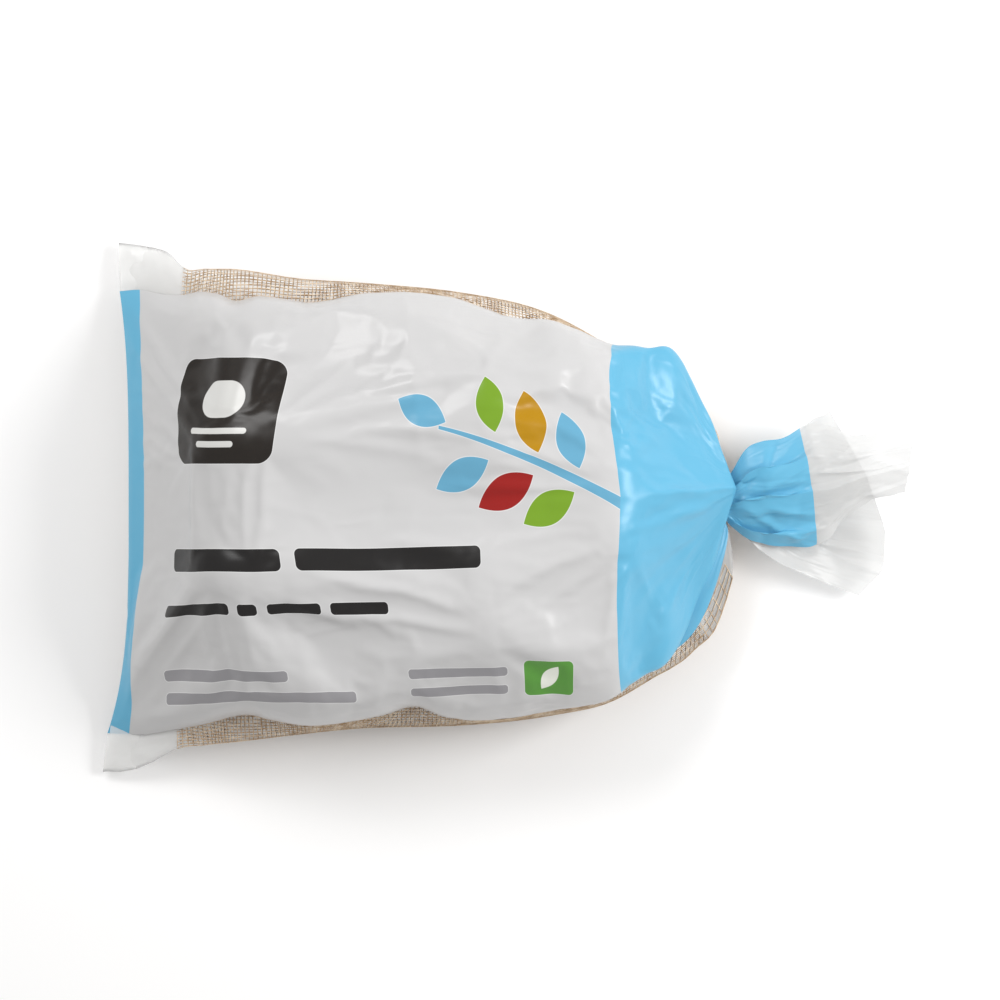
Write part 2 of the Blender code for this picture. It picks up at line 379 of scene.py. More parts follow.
# The filling pushes the film out over the near part of the bottom seam, by this much.
SEAM_BULGE = 5.0
SCALLOP_REACH = 42
SHEET_STEP = 2.5
HALF_COLUMNS = 50
COLUMNS = 2 * HALF_COLUMNS + 1


def through(stations, at):
    """The smooth line through listed stations: the first number is where, the others what it is there."""
    table = np.array(stations, float)
    where, what = table[:, 0], table[:, 1:]
    slope = np.gradient(what, where, axis=0)
    at = np.atleast_1d(np.asarray(at, float))
    i = np.clip(np.searchsorted(where, at, side="right") - 1, 0, len(where) - 2)
    span = (where[i + 1] - where[i])[:, None]
    t = np.clip((at - where[i])[:, None] / span, 0, 1)
    return (
        (2 * t**3 - 3 * t**2 + 1) * what[i]
        + (t**3 - 2 * t**2 + t) * span * slope[i]
        + (3 * t**2 - 2 * t**3) * what[i + 1]
        + (t**3 - t**2) * span * slope[i + 1]
    )


def even_steps(row, count):
    """The same line with count points, evenly spaced along it."""
    run = np.concatenate([[0], np.cumsum(np.linalg.norm(np.diff(row, axis=0), axis=1))])
    at = np.linspace(0, run[-1], count)
    return np.stack([np.interp(at, run, row[:, k]) for k in range(3)], axis=1)


def film_half(crown, edge, turn, flare_power, count, scallop, beyond=None):
    """Half a cross-section of the film, from the crown round to one edge, in count even steps."""
    angle = np.radians(np.linspace(0, turn, 90))
    out = np.sin(angle) ** (2 / 3)
    up = np.cos(angle)
    share = out / out[-1]
    level = (edge[2] - crown[2] * up[-1]) / (1 - up[-1])
    points = np.empty((len(angle), 3))
    points[:, 0] = crown[0] + (edge[0] - crown[0]) * share**flare_power
    points[:, 1] = crown[1] + (edge[1] - crown[1]) * share + scallop * share**9
    points[:, 2] = level + (crown[2] - level) * up
    if beyond is not None:
        points = np.concatenate([points, [beyond]])
    return even_steps(points, count)


def plain_edge(edge, lengths):
    """The edge without its scallops: an even average over a hand's breadth, away from the ends."""
    near_by = np.abs(lengths[:, None] - lengths[None]) < SCALLOP_REACH
    plain = edge.copy()
    average = (near_by @ edge) / near_by.sum(axis=1)[:, None]
    middle = np.clip(np.minimum((lengths - 25) / 30, (270 - lengths) / 40), 0, 1)
    plain[:, 1] += (average[:, 1] - edge[:, 1]) * middle
    return plain


def film_body(lengths, half_count):
    """The front, from the bottom seam to the neck, as rows of points from the near edge to the far one."""
    rows = []
    crown, far, near = (through(line, lengths) for line in (CROWN_LINE, FAR_EDGE, NEAR_EDGE))
    turn = through(TURN, lengths)[:, 0]
    near_plain, far_plain = plain_edge(near, lengths), plain_edge(far, lengths)
    for k, length in enumerate(lengths):
        power = 1 + 2.5 * max(0.0, 1 - length / 120)
        folded_out = through(NEAR_FLANGE, length)[0] if length > NEAR_FLANGE[0][0] else None
        near_scallop, far_scallop = near[k, 1] - near_plain[k, 1], far[k, 1] - far_plain[k, 1]
        shape = turn[k], power, half_count + 1
        near_half = film_half(crown[k], near_plain[k], *shape, near_scallop, folded_out)
        far_half = film_half(crown[k], far_plain[k], *shape, far_scallop)
        row = np.concatenate([near_half[::-1], far_half[1:]])
        bulge = np.exp(-(((row[:, 1] + 62) / 36) ** 2))
        bulge = bulge * min(1, length / 14) * max(0, 1 - max(0, length - 22) / 50)
        row[:, 0] -= SEAM_BULGE * bulge
        rows.append(row)
    return np.array(rows)


def fan(stations, pleats, lifts, height, first_row, lengths, count, pressed_from):
    """The sheet past the neck: leaning pleats that open out from the neck's row and flatten to the lip."""
    table = np.array([(s[0], *s[1], *s[2], *s[3]) for s in stations], float)
    middle = first_row[len(first_row) // 2]
    table = np.concatenate([[[NECK_AT, *first_row[0], *middle, *first_row[-1]]], table])
    base = through(table, lengths)
    pleats = np.array(pleats)
    side = np.array(lifts)
    number = np.arange(len(pleats))
    rows = []
    for k, length in enumerate(lengths):
        near, centre, far = base[k].reshape(3, 3)
        opened = min(1.0, (length - NECK_AT) / 16)
        even = np.linspace(0, 1, len(pleats))
        pressed = min(1.0, max(0.0, (length - pressed_from) / PRESS_REACH))
        standing = 1 - PRESSED_FLAT * pressed**2 * (3 - 2 * pressed)
        share = (even + (pleats - even) * opened * standing)[:, None]
        wander = 0.5 + 0.5 * np.sin(number * 2.4 + length / 15)
        line = near * (1 - share) * (1 - 2 * share) + centre * 4 * share * (1 - share)
        line = line + far * share * (2 * share - 1)
        line[:, 2] += side * height * opened * standing * (0.55 + 0.45 * wander)
        line[:, 0] += side * 1.2 * opened * standing * (1 - wander)
        row = even_steps(line, count)
        blend = min(1.0, (length - NECK_AT) / 8)
        rows.append(first_row * (1 - blend) + row * blend)
    return np.array(rows)


def sheet_mesh(name, points, uv, outward):
    """A sheet from rows of points. The UV map holds the place on the flat sheet, in metres."""
    rows, columns = points.shape[:2]
    i, j = np.meshgrid(np.arange(rows - 1), np.arange(columns - 1), indexing="ij")
    a = (i * columns + j).ravel()
    corners = np.stack([a, a + columns, a + columns + 1, a + 1], axis=1)
    if not outward:
        corners = corners[:, ::-1]
    mesh = bpy.data.meshes.new(name)
    mesh.from_pydata((points.reshape(-1, 3) * MM).tolist(), [], corners.tolist())
    layer = mesh.uv_layers.new(name="flat_sheet")
    loops = np.empty(len(mesh.loops), int)
    mesh.loops.foreach_get("vertex_index", loops)
    layer.data.foreach_set("uv", uv.reshape(-1, 2)[loops].reshape(-1))
    mesh.shade_smooth()
    obj = bpy.data.objects.new(name, mesh)
    scene.collection.objects.link(obj)
    return obj


def grid_normals(points):
    out = np.cross(np.gradient(points, axis=0), np.gradient(points, axis=1))
    return out / (np.linalg.norm(out, axis=2)[:, :, None] + 1e-9)


NECK = (112, 4)


def creased(points, creases):
    """The sheet with sharp, shallow creases: each has a middle, heading, half length, height and width."""
    lift = np.zeros(points.shape[:2])
    for x, y, heading, half, height, width in creases:
        along = (points[:, :, 0] - x) * math.cos(heading) + (points[:, :, 1] - y) * math.sin(heading)
        beside = (points[:, :, 1] - y) * math.cos(heading) - (points[:, :, 0] - x) * math.sin(heading)
        lift += height * np.exp(-np.abs(beside) / width) * np.clip(1 - (along / half) ** 2, 0, 1)
    return points + grid_normals(points) * lift[:, :, None]


def tuft_creases(seed, count, reach):
    """Creases that fan out of the neck, with a few across them."""
    rng = np.random.default_rng(seed)
    for _ in range(count):
        far = rng.uniform(12, reach)
        turn = rng.uniform(-0.75, 0.75)
        across = rng.random() < 0.25
        heading = turn * 0.9 + (rng.uniform(0.8, 1.9) if across else rng.normal(0, 0.25))
        x, y = NECK[0] + far * math.cos(turn), NECK[1] + far * math.sin(turn)
        half, height = rng.uniform(8, 22), rng.uniform(0.6, 1.6) * rng.choice((-1, 1))
        yield x, y, heading, half, height, rng.uniform(1.2, 3.2)


def body_creases(seed, count):
    """Short soft creases all over the front, closer together along its near and far sides."""
    rng = np.random.default_rng(seed)
    for _ in range(count):
        x, y = rng.uniform(-196, 100), rng.uniform(-108, 108)
        if rng.random() < 0.55:
            y = rng.choice((-1, 1)) * rng.uniform(92, 112)
            heading, half = rng.normal(math.pi / 2, 0.5), rng.uniform(6, 16)
        elif x > 40:
            heading, half = math.atan2(y - NECK[1], x - NECK[0]) + rng.normal(0, 0.2), rng.uniform(12, 30)
        else:
            heading, half = rng.uniform(0, math.pi), rng.uniform(8, 26)
        yield x, y, heading, half, rng.uniform(0.2, 0.6) * rng.choice((-1, 1)), rng.uniform(1.5, 4.5)


def neck_creases(seed, count):
    """Longer creases that run in to the neck, where the front is drawn together."""
    rng = np.random.default_rng(seed)
    for _ in range(count):
        away, turn = rng.uniform(14, 62), rng.uniform(math.pi / 2 + 0.1, 3 * math.pi / 2 - 0.1)
        x, y = NECK[0] + away * math.cos(turn), NECK[1] + 1.25 * away * math.sin(turn)
        heading, half = turn + rng.normal(0, 0.16), rng.uniform(10, 26)
        yield x, y, heading, half, rng.uniform(0.35, 1.0) * rng.choice((-1, 1)), rng.uniform(1.2, 3.2)


# One soft ridge across the front, and the small round pucker by the bottom seam.
HAND_CREASES = [(-48, 61, 1.66, 48, 1.3, 6), (-52, -20, 1.4, 30, 0.5, 4), (-120, 92, 1.2, 26, 0.8, 4)]
HAND_CREASES += [(-182 + 6 * math.cos(k), 25 + 6 * math.sin(k), k, 6, -0.8, 1.0) for k in range(6)]
HAND_CREASES += [(-182, 25, k, 7.5, 0.55, 5) for k in range(3)]
# Folds pressed into the tuft: three in the blue end and two along the clear lip.
TUFT_FOLDS = (
    (138, 26, 1.26, 12, -1.6, 2.2),
    (130, -5.3, 0.16, 14, -1.6, 1.8),
    (158, -12, 0.57, 13, 1.4, 1.3),
    (187, 19.7, 0.08, 22, 1.5, 1.0),
    (196, 12, -0.1, 14, -0.9, 1.2),
)
REACH = 12.0
SPACE = 0.9


def clear_of(points, surface, keep):
    """Points of a grid pushed outward where something underneath would come within keep of them."""
    out = grid_normals(points)
    lift = np.zeros(points.shape[:2])
    for i in range(points.shape[0]):
        for j in range(points.shape[1]):
            away = Vector(out[i, j])
            start = Vector(points[i, j] * MM) + away * REACH * MM
            hit, _, _, distance = surface.ray_cast(start, -away, (REACH + keep) * MM)
            if hit is not None:
                lift[i, j] = REACH + keep - distance / MM
    return points + out * lift[:, :, None]


def draped(points, pinned, props, frames, slack, weight):
    """The grid after it has settled as cloth over the props: cut a little long, and held where pinned."""
    rows, columns = points.shape[:2]
    sheet = sheet_mesh("settling", points, np.zeros((rows, columns, 2)), True)
    group = sheet.vertex_groups.new(name="held")
    for at in np.flatnonzero(pinned.ravel()):
        group.add([int(at)], 1.0, "REPLACE")
    for prop in props:
        prop.modifiers.new("hard", "COLLISION")
        prop.collision.thickness_outer = 0.0008
        prop.collision.cloth_friction = 8.0
    cloth = sheet.modifiers.new("cloth", "CLOTH")
    settings = cloth.settings
    settings.vertex_group_mass = "held"
    settings.quality = 8
    settings.mass = 0.02
    settings.tension_stiffness = settings.compression_stiffness = 20
    settings.shear_stiffness = 8
    settings.bending_stiffness = 0.03
    settings.air_damping = 2.0
    sheet.shape_key_add(name="as_placed")
    cut = sheet.shape_key_add(name="as_cut")
    longer = points.reshape(-1, 3) * MM * (1 + np.array(slack))
    cut.data.foreach_set("co", np.ascontiguousarray(longer).reshape(-1))
    settings.rest_shape_key = cut
    settings.effector_weights.gravity = weight
    cloth.collision_settings.distance_min = 0.001
    cloth.collision_settings.collision_quality = 3
    cloth.point_cache.frame_end = frames
    for frame_number in range(1, frames + 1):
        scene.frame_set(frame_number)
    finished(sheet)
    scene.frame_set(1)
    settled = coordinates(sheet.data).reshape(rows, columns, 3) / MM
    bpy.data.objects.remove(sheet)
    for prop in props:
        prop.modifiers.clear()
    return settled


# Over the heap the film's rows run about 7% longer than the flat sheet is wide.
RUN_SHARE = 0.93
SETTLE_FRAMES, SETTLE_SLACK, SETTLE_WEIGHT = 20, (0.010, 0.003, 0.006), 0.10


def flat_places(points, lengths, width, true_until, even_from):
    """Where each point lies on the flat sheet: by its run from the crown, and evenly past the gathers."""
    steps = np.linalg.norm(np.diff(points, axis=1), axis=2)
    run = np.concatenate([np.zeros((len(points), 1)), np.cumsum(steps, axis=1)], axis=1)
    run -= run[:, points.shape[1] // 2][:, None]
    run *= RUN_SHARE * MM
    even = np.linspace(-0.5, 0.5, points.shape[1])[None] * width
    share = np.clip((lengths - true_until) / (even_from - true_until), 0, 1)[:, None]
    return np.stack(np.broadcast_arrays(lengths[:, None] * MM, run * (1 - share) + even * share), axis=2)


body_lengths = np.linspace(0, NECK_AT, int(NECK_AT / SHEET_STEP) + 1)
fan_lengths = np.linspace(NECK_AT, LIP_AT, int((LIP_AT - NECK_AT) / SHEET_STEP) + 1)[1:]
body_points = film_body(body_lengths, HALF_COLUMNS)
fan_shape = FRONT_FAN, FRONT_PLEATS, FRONT_LIFTS, FRONT_PLEAT_HEIGHT, body_points[-1]
fan_points = fan(*fan_shape, fan_lengths, COLUMNS, FRONT_PRESSED_FROM)

heap = bmesh.new()
for name in RUSSETS:
    heap.from_mesh(bpy.data.objects[name].data)
heap_surface = BVHTree.FromBMesh(heap)
heap.free()
body_points = clear_of(body_points, heap_surface, SPACE)

pinned = np.zeros(body_points.shape[:2], bool)
pinned[:2] = pinned[-4:] = True
pinned[:, 0] = pinned[:, -1] = True
tubers = [bpy.data.objects[name] for name in RUSSETS]
body_points = draped(body_points, pinned, tubers, SETTLE_FRAMES, SETTLE_SLACK, SETTLE_WEIGHT)

film_lengths = np.concatenate([body_lengths, fan_lengths])
smooth_points = np.concatenate([body_points, fan_points])
film_uv = flat_places(smooth_points, film_lengths, FILM_WIDTH, 300, 365)
body_points = creased(body_points, [*body_creases(5, 190), *neck_creases(9, 70), *HAND_CREASES])
fan_points = creased(fan_points, [*tuft_creases(3, 64, 95), *TUFT_FOLDS])
film = sheet_mesh("printed_film", np.concatenate([body_points, fan_points]), film_uv, True)
smooth = film.modifiers.new("smooth", "SUBSURF")
smooth.levels = smooth.render_levels = 1
smooth.boundary_smooth = "PRESERVE_CORNERS"
finished(film)

# The print. Places are in mm on the flat sheet: along from the bottom seam, and across from the middle.
SEAM_BAND_END = 13.0
TOP_BAND_START = 289.5
PRINT_END = 436.0
# How much the edges of the two end bands lean or bow across the sheet.
TOP_BAND_BOW = -0.0016
PRINT_END_SLANT = 0.03
EDGE_BLUR = 0.18
HALO = 0.35
# Plain bars and panels: first and last place along, lower and upper place across, corner radius.
PANEL = ((46, 108, 21, 75, 7),)
PANEL_MARKS = ((64, 90, 44, 63, 9.5), (60, 94, 35.5, 38.5, 1.5), (66, 88, 29, 32, 1.5))
DARK_BARS = (
    (41, 112, -31, -20, 3),
    (119, 217, -31, -20, 3),
    (38, 82, -53.5, -47.5, 2),
    (87, 97, -53.5, -47.5, 2),
    (102, 128, -53.5, -47.5, 2),
    (133, 164, -53.5, -47.5, 2),
)
GREY_BARS = (
    (33, 106, -88.5, -82.5, 2),
    (33, 140, -100.5, -94.5, 2),
    (171, 229, -87.5, -82, 2),
    (171, 229, -98.5, -93, 2),
)
SEAL = ((238, 266, -100, -79, 3),)
SEAL_LEAF = ((252, -89.5, 55, 8.5, 4.2),)
# Leaves of the sprig: centre along, centre across, heading in degrees, half length, half width.
BLUE_LEAVES = ((184, 47, 156, 15, 7.5), (208, 15, 208, 15, 8), (266, 30, 104, 15, 8))
GREEN_LEAVES = ((221, 49, 104, 14, 7.5), (253, -3, 208, 15, 8))
OCHRE_LEAVES = ((244, 40, 104, 16, 8.5),)
RED_LEAVES = ((231, 6, 208, 16, 8.5),)
# The sprig's stem: where it starts, its length, its first half width and taper, and its rise and bow.
STEM_START, STEM_LOW, STEM_RUN = 292, 4, 98
STEM_HALF, STEM_TAPER = 3.0, -0.022
STEM_RISE, STEM_BOW = 0.62, 0.0019
WHITE_INK, HALO_INK = (0.57, 0.568, 0.57), (0.72, 0.72, 0.72)
# UNPRINTED, the clear lip, has the tuft's darker clear tone: painted shade against the lighter ears.
SKY_BLUE, UNPRINTED = (0.125, 0.43, 0.635), (0.62, 0.62, 0.615)
GREY_INK, BLACK_INK, PANEL_INK = (0.30, 0.295, 0.31), (0.012, 0.011, 0.011), (0.016, 0.013, 0.011)
MARK_INK, SEAL_INK, SEAL_LEAF_INK = (0.72, 0.72, 0.70), (0.10, 0.30, 0.05), (0.80, 0.82, 0.74)
BLUE_INK, GREEN_INK = (0.13, 0.37, 0.54), (0.18, 0.34, 0.02)
OCHRE_INK, RED_INK = (0.44, 0.225, 0.002), (0.30, 0.010, 0.008)
# How much of what lies behind shows through the film, the dark panel and the unprinted lip.
FILM_SHOWS, PANEL_SHOWS, LIP_SHOWS = 0.04, 0.06, 0.33


def crinkle(material, shader, scale, depth, strength):
    """The fine crumple of thin film, on the flat sheet and drawn out along it."""
    nodes, links = nodes_and_links(material)
    place = nodes.new("ShaderNodeUVMap")
    place.uv_map = "flat_sheet"
    folds = nodes.new("ShaderNodeTexNoise")
    folds.noise_type = "RIDGED_MULTIFRACTAL"
    drawn = nodes.new("ShaderNodeMapping")
    drawn.inputs["Scale"].default_value = (0.45, 1.0, 1.0)
    links.new(place.outputs["UV"], drawn.inputs["Vector"])
    for name, value in (("Scale", scale), ("Detail", 5.0), ("Roughness", 0.5), ("Distortion", 0.7)):
        folds.inputs[name].default_value = value
    links.new(drawn.outputs["Vector"], folds.inputs["Vector"])
    bump = nodes.new("ShaderNodeBump")
    bump.inputs["Distance"].default_value = depth
    bump.inputs["Strength"].default_value = strength
    links.new(folds.outputs["Fac"], bump.inputs["Height"])
    links.new(bump.outputs["Normal"], shader.inputs["Normal"])


def maths_in(tree):
    """A short way to add one calculation to a tree, from numbers or from other results."""

    def step(operation, *values, clamp=False):
        node = tree.nodes.new("ShaderNodeMath")
        node.operation = operation
        node.use_clamp = clamp
        for socket, value in zip(node.inputs, values):
            if isinstance(value, (int, float)):
                socket.default_value = value
            else:
                tree.links.new(value, socket)
        return node.outputs["Value"]

    return step


def math_group(name, inputs, build):
    """A small reusable calculation with named inputs and one result."""
    group = bpy.data.node_groups.new(name, "ShaderNodeTree")
    for label in inputs:
        group.interface.new_socket(label, in_out="INPUT", socket_type="NodeSocketFloat")
    group.interface.new_socket("Distance", in_out="OUTPUT", socket_type="NodeSocketFloat")
    start, end = group.nodes.new("NodeGroupInput"), group.nodes.new("NodeGroupOutput")
    group.links.new(build(maths_in(group), start.outputs), end.inputs["Distance"])
    return group


def bar_distance(step, given):
    """How far outside a rounded bar a place is; less than nothing inside."""
    over = []
    for way in ("along", "across"):
        away = step("ABSOLUTE", step("SUBTRACT", given[way.capitalize()], given[f"Middle {way}"]))
        over.append(step("ADD", step("SUBTRACT", away, given[f"Half {way}"]), given["Corner"]))
    outside = [step("MAXIMUM", part, 0) for part in over]
    corner = step("POWER", step("ADD", step("POWER", outside[0], 2), step("POWER", outside[1], 2)), 0.5)
    return step("SUBTRACT", step("ADD", corner, step("MINIMUM", step("MAXIMUM", *over), 0)), given["Corner"])


def leaf_distance(step, given):
    """The same for a pointed leaf, whose two sides are bows of one shape."""
    x = step("SUBTRACT", given["Along"], given["Middle along"])
    y = step("SUBTRACT", given["Across"], given["Middle across"])
    lengthwise = step("ADD", step("MULTIPLY", x, given["Cosine"]), step("MULTIPLY", y, given["Sine"]))
    sideways = step("SUBTRACT", step("MULTIPLY", y, given["Cosine"]), step("MULTIPLY", x, given["Sine"]))
    share = step("ABSOLUTE", step("DIVIDE", lengthwise, given["Half length"]))
    side = step("MULTIPLY", given["Half width"], step("SUBTRACT", 1, step("POWER", share, 2)))
    return step("MULTIPLY", 0.8, step("SUBTRACT", step("ABSOLUTE", sideways), side))


BAR_INPUTS = ("Along", "Across", "Middle along", "Middle across", "Half along", "Half across", "Corner")
LEAF_INPUTS = BAR_INPUTS[:4] + ("Cosine", "Sine", "Half length", "Half width")
bar_group = math_group("rounded_bar", BAR_INPUTS, bar_distance)
leaf_group = math_group("leaf", LEAF_INPUTS, leaf_distance)


def film_material():
    """Glossy white film with its print, on the flat sheet, and bare clear film past the print's end."""
    material, shader = new_material("printed_film")
    nodes, links = nodes_and_links(material)
    place = nodes.new("ShaderNodeUVMap")
    place.uv_map = "flat_sheet"
    split = nodes.new("ShaderNodeSeparateXYZ")
    links.new(place.outputs["UV"], split.inputs["Vector"])
    step = maths_in(material.node_tree)

    def mix(factor, a, b):
        node = nodes.new("ShaderNodeMix")
        node.data_type = "RGBA"
        links.new(factor, node.inputs["Factor"])
        for socket, value in zip((node.inputs["A"], node.inputs["B"]), (a, b)):
            if isinstance(value, tuple):
                socket.default_value = (*value, 1)
            else:
                links.new(value, socket)
        return node.outputs["Result"]

    along = step("MULTIPLY", split.outputs["X"], 1000)
    across = step("MULTIPLY", split.outputs["Y"], 1000)

    def grouped(group, values):
        node = nodes.new("ShaderNodeGroup")
        node.node_tree = group
        links.new(along, node.inputs["Along"])
        links.new(across, node.inputs["Across"])
        for name, value in values.items():
            node.inputs[name].default_value = value
        return node.outputs["Distance"]

    def nearest(distances):
        found = distances[0]
        for other in distances[1:]:
            found = step("MINIMUM", found, other)
        return found

    def bar(first, last, low, high, corner):
        values = {"Middle along": (first + last) / 2, "Half along": (last - first) / 2}
        values |= {"Middle across": (low + high) / 2, "Half across": (high - low) / 2, "Corner": corner}
        return grouped(bar_group, values)

    def leaf(x, y, degrees, half, wide):
        turn = math.radians(degrees)
        values = {"Middle along": x, "Middle across": y, "Cosine": math.cos(turn), "Sine": math.sin(turn)}
        return grouped(leaf_group, values | {"Half length": half, "Half width": wide})

    def bars(rows):
        return nearest([bar(*row) for row in rows])

    def leaves(rows):
        return nearest([leaf(*row) for row in rows])

    def inside(distance, margin=0.0):
        """1 within the shape and its margin, 0 outside, with a soft edge."""
        return step("MULTIPLY_ADD", distance, -1 / EDGE_BLUR, 0.5 + margin / EDGE_BLUR, clamp=True)

    # The stem is a shallow bow from the blue end band to the last leaf.
    from_band = step("SUBTRACT", STEM_START, along)
    dip = step("MULTIPLY", step("POWER", from_band, 2), STEM_BOW)
    bow = step("SUBTRACT", step("MULTIPLY", from_band, STEM_RISE), dip)
    thin = step("MULTIPLY_ADD", from_band, STEM_TAPER, STEM_HALF)
    off_stem = step("SUBTRACT", step("ABSOLUTE", step("SUBTRACT", step("ADD", across, STEM_LOW), bow)), thin)
    ends = step("MAXIMUM", step("SUBTRACT", from_band, STEM_RUN), step("MULTIPLY", from_band, -1))
    stem = step("MAXIMUM", off_stem, ends)

    panel, marks, dark, grey = bars(PANEL), bars(PANEL_MARKS), bars(DARK_BARS), bars(GREY_BARS)
    seal, seal_leaf = bars(SEAL), leaves(SEAL_LEAF)
    blue_leaves = step("MINIMUM", leaves(BLUE_LEAVES), stem)
    green, ochre, red = leaves(GREEN_LEAVES), leaves(OCHRE_LEAVES), leaves(RED_LEAVES)
    seam_band = step("LESS_THAN", along, SEAM_BAND_END)
    bowed = step("MULTIPLY_ADD", step("POWER", across, 2), TOP_BAND_BOW, along)
    top_band = step("GREATER_THAN", bowed, TOP_BAND_START)
    clear = step("GREATER_THAN", step("MULTIPLY_ADD", across, PRINT_END_SLANT, along), PRINT_END)

    printed = nearest([panel, dark, grey, seal, blue_leaves, green, ochre, red])
    colour = mix(inside(printed, HALO), WHITE_INK, HALO_INK)
    layers = ((grey, GREY_INK), (dark, BLACK_INK), (panel, PANEL_INK), (marks, MARK_INK), (seal, SEAL_INK))
    layers += ((seal_leaf, SEAL_LEAF_INK), (blue_leaves, BLUE_INK), (green, GREEN_INK), (ochre, OCHRE_INK))
    for distance, ink in (*layers, (red, RED_INK)):
        colour = mix(inside(distance), colour, ink)
    colour = mix(step("MAXIMUM", seam_band, top_band), colour, SKY_BLUE)
    colour = mix(clear, colour, UNPRINTED)
    links.new(colour, shader.inputs["Base Color"])
    see_through = step("MULTIPLY_ADD", inside(panel), PANEL_SHOWS, FILM_SHOWS)
    see_through = step("MULTIPLY_ADD", clear, LIP_SHOWS, see_through)
    links.new(step("SUBTRACT", 1, see_through), shader.inputs["Alpha"])
    crinkle(material, shader, 70.0, 0.0011, 0.5)
    shader.inputs["Roughness"].default_value = 0.30
    shader.inputs["Specular IOR Level"].default_value = 0.34
    return material


film.data.materials.append(film_material())
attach(film, "root")
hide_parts("front_film")

# ---------------------------------------------------------------------------------------------------------
# The bottom strip. Clear film across the foot of the back, welded to the printed film at the bottom seam,
# with a folded ear at each corner. The tables below give the whole back, which the top strip and the net
# follow too: from the printed film's far edge, out to a fold, round the underside and up to its near edge.
# ---------------------------------------------------------------------------------------------------------

FAR_FOLD = (
    (0, -204.2, 139, 6),
    (15, -190, 137, 9),
    (30, -177, 133, 15),
    (38, -169, 125, 20),
    (50, -158, 124.5, 26),
    (74, -140, 124, 31),
    (104, -111, 119.5, 34),
    (147, -76, 117, 35),
    (201, -25, 112, 36),
    (263, 24, 100, 35),
    (296, 50, 86, 34),
    (325, 72, 72, 32),
    (347, 92, 58, 30),
    (362, 105, 42, 28),
    (368, 111, 27, 27),
    (372, 113, 18, 26.5),
    (378, 113, 13.5, 26.5),
)
NEAR_FOLD = (
    (0, -212.5, -138.8, 5),
    (15, -196, -137.5, 8),
    (30, -182, -131, 15),
    (38, -172, -126, 20),
    (50, -158, -124, 26),
    (74, -140, -122, 31),
    (104, -111, -118.5, 34),
    (147, -76, -115, 35),
    (201, -25, -113.5, 36),
    (263, 25, -108, 35),
    (296, 52, -102, 34),
    (325, 74, -90, 32),
    (347, 97, -75, 27),
    (362, 112, -54, 24.5),
    (368, 118, -31, 24),
    (372, 116.5, -16, 24),
    (378, 113, -5.5, 26.5),
)
UNDERSIDE = (
    (0, -198, 0, 23.6),
    (15, -192, 0, 18),
    (30, -183, 0, 10),
    (50, -166, 0, 3),
    (74, -146, 0, 0.8),
    (104, -120, 0, 0.7),
    (201, -25, 0, 0.7),
    (296, 55, 0, 0.7),
    (325, 82, 1, 0.8),
    (347, 101, 2, 6),
    (362, 112, 3, 13),
    (368, 115, 3, 17),
    (372, 114.5, 4, 18.5),
    (378, 113, 4, 19),
)
BACK_FULLNESS = ((0, 1.25), (20, 1.7), (50, 2.6), (104, 3.2), (296, 3.2), (347, 2.6), (378, 2.0))
BACK_WIDTH = 0.33
STRIP_TO = 38.5
# How far below the printed film's edge the back starts, and how far below the seam its weld lies.
BACK_DROP = 1.2
WELD_DROP = 0.9


def back_half(edge, fold, under, fullness, flange_count, count):
    """Half the back's section: out from the film's edge to the fold, then round to the middle underneath."""
    reach = np.linspace(0, 1, flange_count)[:, None]
    flange = edge + (fold - edge) * reach
    flange[:, 2] += 1.5 * np.sin(np.pi * reach[:, 0])
    angle = np.linspace(0, np.pi / 2, 80)
    out = np.cos(angle) ** (2 / fullness)
    down = np.sin(angle) ** (2 / fullness)
    wrap = np.empty((len(angle), 3))
    wrap[:, 0] = under[0] + (fold[0] - under[0]) * out**2
    wrap[:, 1] = under[1] + (fold[1] - under[1]) * out
    wrap[:, 2] = fold[2] + (under[2] - fold[2]) * down
    return np.concatenate([flange[:-1], even_steps(wrap, count)])


def welded(row, length, flange_count):
    """The under layer drawn up against the film where the seam welds them."""
    seam = body_points[0]
    y = row[:, 1]
    near_seam = max(0.0, 1 - length / 36) ** 2 * np.clip((117 - np.abs(y)) / 5, 0, 1)
    near_seam[: flange_count - 1] = near_seam[len(row) - flange_count + 1 :] = 0
    seam_x, seam_z = (np.interp(y, seam[:, 1], seam[:, k]) for k in (0, 2))
    at_film = np.stack([seam_x, y, seam_z - WELD_DROP], axis=1)
    return row + (at_film - row) * near_seam[:, None]


def back_rows(lengths, flange_count, count):
    """The back's surface at these lengths, as rows of points from the near edge to the far one."""
    rows = []
    far_edge, near_edge, far_fold, near_fold, under = (
        through(line, lengths) for line in (FAR_EDGE, NEAR_EDGE, FAR_FOLD, NEAR_FOLD, UNDERSIDE)
    )
    fullness = through(BACK_FULLNESS, lengths)[:, 0]
    lower = np.array([0, 0, BACK_DROP])
    for k in range(len(lengths)):
        shape = under[k], fullness[k], flange_count, count
        far = back_half(far_edge[k] - lower, far_fold[k], *shape)
        near = back_half(near_edge[k] - lower, near_fold[k], *shape)
        rows.append(welded(np.concatenate([near, far[::-1][1:]]), lengths[k], flange_count))
    return np.array(rows)


def clear_film_material(name, tone, cover):
    """Unprinted film: a faint milky tone over what lies behind, with a fine crumple. Each strip's tone also
    carries painted light and shade.
    """
    material, shader = new_material(name)
    shader.inputs["Base Color"].default_value = (tone, tone, 0.99 * tone, 1)
    shader.inputs["Alpha"].default_value = cover
    shader.inputs["Roughness"].default_value = 0.26
    shader.inputs["Specular IOR Level"].default_value = 0.35
    crinkle(material, shader, 90.0, 0.0009, 0.5)
    return material


def flat_uv(lengths, columns, width):
    across = np.linspace(-0.5, 0.5, columns)[None] * width
    return np.stack(np.broadcast_arrays(lengths[:, None] * MM, across), axis=2)


